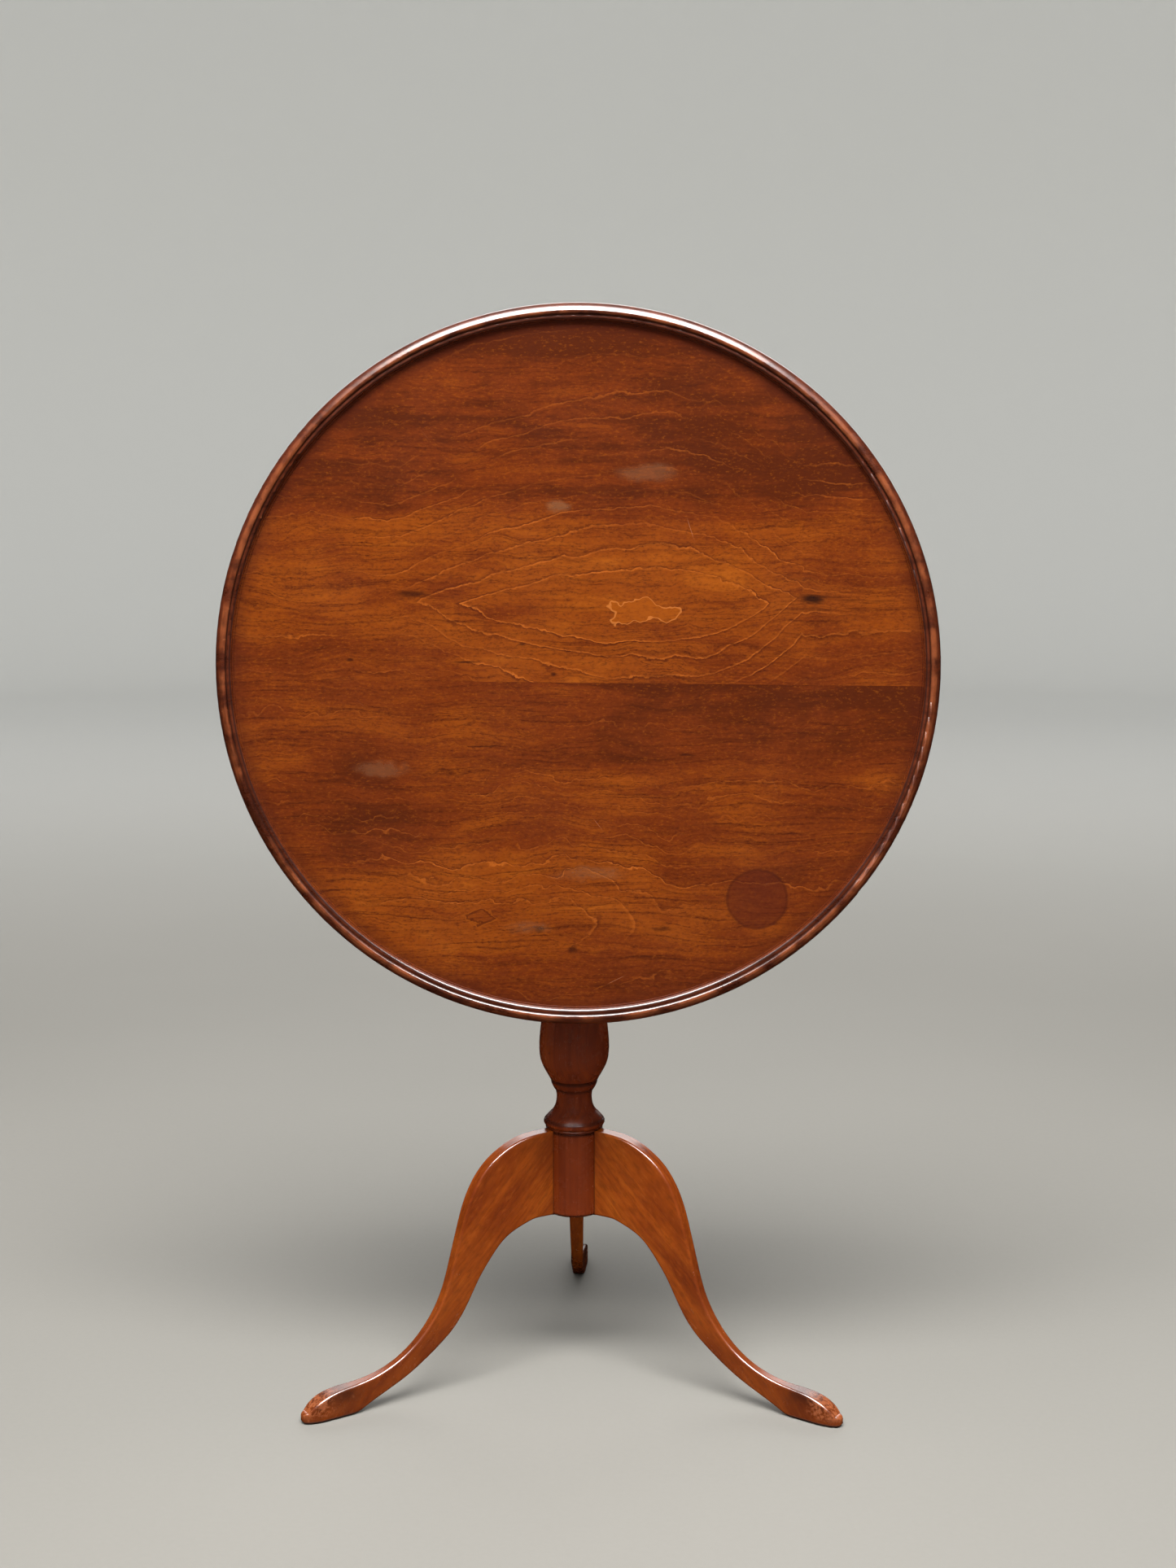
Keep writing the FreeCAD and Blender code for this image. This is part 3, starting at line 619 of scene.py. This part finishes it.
def pillar_cherry(name):
    """Turned wood: rings cut through by the turning, painted shade and dirt in the quirks."""
    k = Kit(name)
    px = k.x - PILLAR.x
    py = k.y - PILLAR.y
    slow = k.noise(k.vector(px * 14.0, py * 14.0, k.z * 5.0), 3.0, 0.5) - 0.5
    wave = k.noise(k.vector(px * 60.0, py * 60.0, k.z * 22.0), 2.0) - 0.5
    growth = k.length(px + 0.052 + slow * 0.016 + wave * 0.002, py - 0.018 + slow * 0.012)
    lines, share = ring_lines(k, growth, spacing=0.0050, seed=0.21)
    fine = k.noise(k.vector(px * 420.0, py * 420.0, k.z * 9.0), 4.0, 0.6)
    coarse = k.noise(k.vector(px * 130.0, py * 130.0, k.z * 5.0), 3.0)
    cloud = k.noise(k.vector(px * 26.0, py * 26.0, k.z * 14.0 + 3.0), 3.0)
    tone = coarse * 0.40 + fine * 0.20 + cloud * 0.45 + slow * 0.2 - share * 0.08
    colour = k.mix(k.step(tone, 0.36, 0.54), POST_DARK, POST_MID)
    colour = k.mix(k.step(tone, 0.52, 0.72), colour, POST_LIGHT)
    colour = k.mix(lines * 0.32, colour, DARK)
    colour = k.mix(k.step(fine, 0.56, 0.78) * 0.38, colour, DARK)
    hub = k.step(k.z, HUB_TOP + 0.004, HUB_TOP - 0.004)
    colour = k.mix(hub * 0.30, colour, HUB)
    # dark lines at the quirks: painted shade, with dirt
    for place, half, amount in PILLAR_QUIRKS:
        colour = k.mix(k.band(k.z, place, half, 0.0022) * amount, colour, DEEP)
    foot = k.step(k.z, 0.178, 0.1765)          # the sawn lower end of the hub
    colour = k.mix(foot * 0.6, colour, DRY_DARK)
    rub = k.noise(k.vector(k.x * 80.0, k.y * 80.0, k.z * 80.0), 4.0, 0.6)
    colour = k.mix(k.step(rub, 0.68, 0.76) * 0.3, colour, NICK)
    colour = k.mix(k.step(rub, 0.31, 0.25) * 0.5, colour, DEEP)
    tenon_end = k.step(k.z, 0.698, 0.6995) * k.step(k.length(px, py), 0.020, 0.018)
    colour = k.mix(tenon_end, colour, DRY_DARK)
    tool = k.noise(k.vector(0.0, 0.0, k.z * 700.0), 2.0)
    rough = 0.18 + rub * 0.12 + fine * 0.05 + tenon_end * 0.3
    height = fine * 0.25 + rub * 0.5 + tool * 0.3
    return k.finish(colour, rough, height, depth=0.00016, specular=0.6)


# ---------------------------------------------------------------- bare wood and metal
def bare_wood(name, axis, seed, tint=(0.0, 0.0, 0.0)):
    """Battens, block and wedge: plain wood never finished, brown with age; axis is its grain."""
    k = Kit(name)
    order = {"X": (k.x, k.z, k.y), "Z": (k.z, k.x, k.y), "Y": (k.y, k.x, k.z)}[axis]
    colour, rough, height = dry_wood(k, *order, seed)
    grey = (0.5 + tint[0], 0.5 + tint[1], 0.5 + tint[2], 1.0)
    colour = k.mix(0.6, colour, grey, "OVERLAY")
    return k.finish(colour, rough, height, depth=0.00035, specular=0.3)


def metal(name, bright, dull, spots, rough, seed):
    """Old metal: rubbed bright where touched, tarnished elsewhere, with fine spots."""
    k = Kit(name)
    big = k.noise(k.vector(k.x * 60.0 + seed, k.y * 60.0, k.z * 60.0), 4.0, 0.6)
    small = k.noise(k.vector(k.x * 700.0, k.y * 700.0, k.z * 700.0 + seed), 3.0, 0.6)
    brushed = k.noise(k.vector(k.x * 2500.0, k.y * 900.0, k.z * 90.0 + seed), 2.0)
    worn = k.step(big * 0.7 + small * 0.3, 0.38, 0.62)
    colour = k.mix(worn, dull, bright)
    pits = k.step(small, 0.60, 0.72)
    colour = k.mix(pits * 0.6, colour, spots)
    roughness = rough + (1.0 - worn) * 0.18 + pits * 0.15
    height = small * 0.5 + brushed * 0.3 - pits * 0.5
    return k.finish(colour, roughness, height, depth=0.00006, metallic=1.0)


def paint(node, material):
    mesh = NODES[node].data
    mesh.materials.clear()
    mesh.materials.append(material)


paint("top_board_upper", top_cherry("cherry_upper_board", upper=True))
paint("top_board_lower", top_cherry("cherry_lower_board", upper=False))
for leg, azimuth in LEG_AZIMUTHS.items():
    paint(leg, leg_cherry("cherry_" + leg, azimuth))
paint("pillar", pillar_cherry("cherry_pillar"))
paint("batten_left", bare_wood("batten_wood_left", "Z", seed=2.0))
paint("batten_right", bare_wood("batten_wood_right", "Z", seed=7.0))
paint("pivot_block", bare_wood("block_wood", "X", seed=11.0))
paint("tenon_wedge", bare_wood("wedge_oak", "Y", seed=4.0, tint=(0.06, 0.04, 0.0)))
IRON = metal("old_iron", bright=srgb(104, 96, 88), dull=srgb(58, 48, 42),
             spots=srgb(92, 52, 32), rough=0.42, seed=1.0)
BRASS = metal("old_brass", bright=srgb(206, 164, 88), dull=srgb(120, 88, 44),
              spots=srgb(66, 52, 32), rough=0.30, seed=5.0)
STEEL = metal("spring_steel", bright=srgb(150, 150, 150), dull=srgb(88, 84, 82),
              spots=srgb(84, 60, 44), rough=0.34, seed=9.0)
for node in ("pivot_pin_left", "pivot_pin_right", "batten_screws"):
    paint(node, IRON)
for node in ("catch_plate", "catch_case", "catch_bolt", "catch_knob", "catch_screws",
             "strike_plate", "strike_screws"):
    paint(node, BRASS)


# ---------------------------------------------------------------- pieces built here
def place_mesh(name, mesh, material):
    """A finished bmesh as an object in the scene: smooth, but flat on faces of many sides."""
    data = bpy.data.meshes.new(name)
    mesh.to_mesh(data)
    mesh.free()
    for polygon in data.polygons:
        polygon.use_smooth = len(polygon.vertices) <= 4
    data.materials.append(material)
    piece = bpy.data.objects.new(name, data)
    bpy.context.scene.collection.objects.link(piece)
    return piece


def coil_spring(name, node, wire, turns):
    """A wound spring in the place of its CAD node, its axis along the catch's slide."""
    steps, sides = 28, 10      # points in each turn, and round the wire
    low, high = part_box(node)
    centre = middle(low, high)
    radius = (high.x - low.x) / 2 - wire
    start, length = low.z + wire, high.z - low.z - 2 * wire
    pitch = length / turns
    mesh = bmesh.new()
    rings = []
    for i in range(steps * turns + 1):
        a = 2 * math.pi * i / steps
        out = Vector((math.cos(a), math.sin(a), 0.0))
        run = Vector((-math.sin(a), math.cos(a), pitch / (2 * math.pi * radius))).normalized()
        up = run.cross(out).normalized()
        height = start + length * i / (steps * turns)
        place = Vector((centre.x, centre.y, height)) + out * radius
        rings.append([mesh.verts.new(place + wire * (out * math.cos(b) + up * math.sin(b)))
                      for b in (2 * math.pi * j / sides for j in range(sides))])
    for first, second in zip(rings, rings[1:]):
        for j in range(sides):
            after = (j + 1) % sides
            mesh.faces.new((first[j], first[after], second[after], second[j]))
    mesh.faces.new(rings[0])
    mesh.faces.new(rings[-1])
    bmesh.ops.recalc_face_normals(mesh, faces=mesh.faces)
    piece = place_mesh(name, mesh, STEEL)
    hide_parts(node)
    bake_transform(piece)


coil_spring("catch_coil", "catch_spring", wire=0.00045, turns=8)


# ---------------------------------------------------------------- stage
FLOOR_R = 6.0
SWEEP_R = 2.0
WALL_TOP = 4.8


def backdrop():
    """Pale studio floor that sweeps up into a wall all round, well outside the cameras."""
    k = Kit("studio_floor")
    drift = k.noise(k.vector(k.x * 1.1, k.y * 1.1, 0.0), 3.0)
    speck = k.noise(k.vector(k.x * 160.0, k.y * 160.0, 0.0), 2.0)
    colour = k.mix(drift * 0.6 + speck * 0.2, srgb(132, 130, 124), srgb(146, 143, 137))
    out = k.length(k.x, k.y)
    # paler outwards to the wall: painted light, making up for the lamps' weaker light far from the
    # table
    colour = k.mix(k.step(out, 1.5, FLOOR_R), colour, srgb(222, 222, 218))
    material = k.finish(colour, 0.85, specular=0.2)

    around, curve = 96, 24       # faces round the stage, and up the sweep
    profile = [(0.0, 0.0)] + [(r / 10.0, 0.0) for r in range(5, int(FLOOR_R * 10) + 1, 5)]
    for i in range(1, curve + 1):
        a = math.pi / 2 * i / curve
        profile.append((FLOOR_R + SWEEP_R * math.sin(a), SWEEP_R * (1.0 - math.cos(a))))
    profile.append((FLOOR_R + SWEEP_R, WALL_TOP))
    mesh = bmesh.new()
    turns = [2 * math.pi * i / around for i in range(around)]
    rings = [[mesh.verts.new((r * math.cos(a), r * math.sin(a), z))
              for a in (turns if r else turns[:1])] for r, z in profile]
    for low, high in zip(rings, rings[1:]):
        for i in range(around):
            j = (i + 1) % around
            if len(low) == 1:
                mesh.faces.new((low[0], high[i], high[j]))
            else:
                mesh.faces.new((low[i], high[i], high[j], low[j]))
    floor = place_mesh("studio_floor", mesh, material)
    floor.visible_glossy = False


# ---------------------------------------------------------------- light
TOP_AIM = (0.0, -0.15, 0.7)
TABLE_AIM = (0.0, 0.0, 0.6)

# name, place, aim, size, watts, tint, and the rays that don't see it
SOFTBOXES = (
    ("overhead", (0.0, -2.0, 4.0), TOP_AIM, (3.4, 1.3), 300.0, (1.0, 0.99, 0.97), ""),
    ("overhead_glint", (0.0, -1.1, 3.1), TOP_AIM, (2.8, 1.4), 620.0, (1.0, 1.0, 1.0), "diffuse"),
    ("front_fill", (-0.2, -4.2, 2.9), TABLE_AIM, (2.6, 1.4), 26.0, (1.0, 0.98, 0.95), "glossy"),
    ("back_fill", (0.3, 3.2, 3.0), TABLE_AIM, (2.6, 1.4), 34.0, (1.0, 0.99, 0.97), ""),
    ("back_panel", (0.0, 4.6, 2.2), TABLE_AIM, (5.0, 2.8), 110.0, (1.0, 1.0, 1.0), "diffuse"),
)


def softbox(name, place, aim, size, watts, tint, unseen_by):
    data = bpy.data.lights.new(name, "AREA")
    data.shape = "RECTANGLE"
    data.size, data.size_y = size
    data.energy = watts
    data.color = tint
    lamp = bpy.data.objects.new(name, data)
    lamp.location = place
    lamp.rotation_euler = (Vector(aim) - Vector(place)).to_track_quat("-Z", "Y").to_euler()
    lamp.visible_camera = False
    lamp.visible_diffuse = unseen_by != "diffuse"
    lamp.visible_glossy = unseen_by != "glossy"
    bpy.context.scene.collection.objects.link(lamp)


def studio_air():
    """Soft grey light from all round, left out of reflections."""
    world = bpy.data.worlds.new("studio_air")
    bpy.context.scene.world = world
    world.use_nodes = True
    air = world.node_tree.nodes["Background"]
    air.inputs["Color"].default_value = (0.97, 0.98, 1.0, 1.0)
    air.inputs["Strength"].default_value = 0.48
    world.cycles_visibility.glossy = False


backdrop()
for box in SOFTBOXES:
    softbox(*box)
studio_air()


# ---------------------------------------------------------------- camera
# the photograph's viewing angle, from a camera fitted to its proportions
CAMERA_PLACE = (0.0501, -2.5324, 1.0498)
CAMERA_PITCH = 80.627
CAMERA_YAW = 0.823
CAMERA_LENS = 72.125
SENSOR_WIDTH = 36.0

eye = bpy.data.cameras.new("camera")
eye.sensor_fit = "HORIZONTAL"
eye.sensor_width = SENSOR_WIDTH
eye.lens = CAMERA_LENS
camera = bpy.data.objects.new("camera", eye)
camera.location = CAMERA_PLACE
camera.rotation_euler = (math.radians(CAMERA_PITCH), 0.0, math.radians(CAMERA_YAW))
bpy.context.scene.collection.objects.link(camera)
bpy.context.scene.camera = camera
bpy.context.scene.view_settings.view_transform = "Standard"
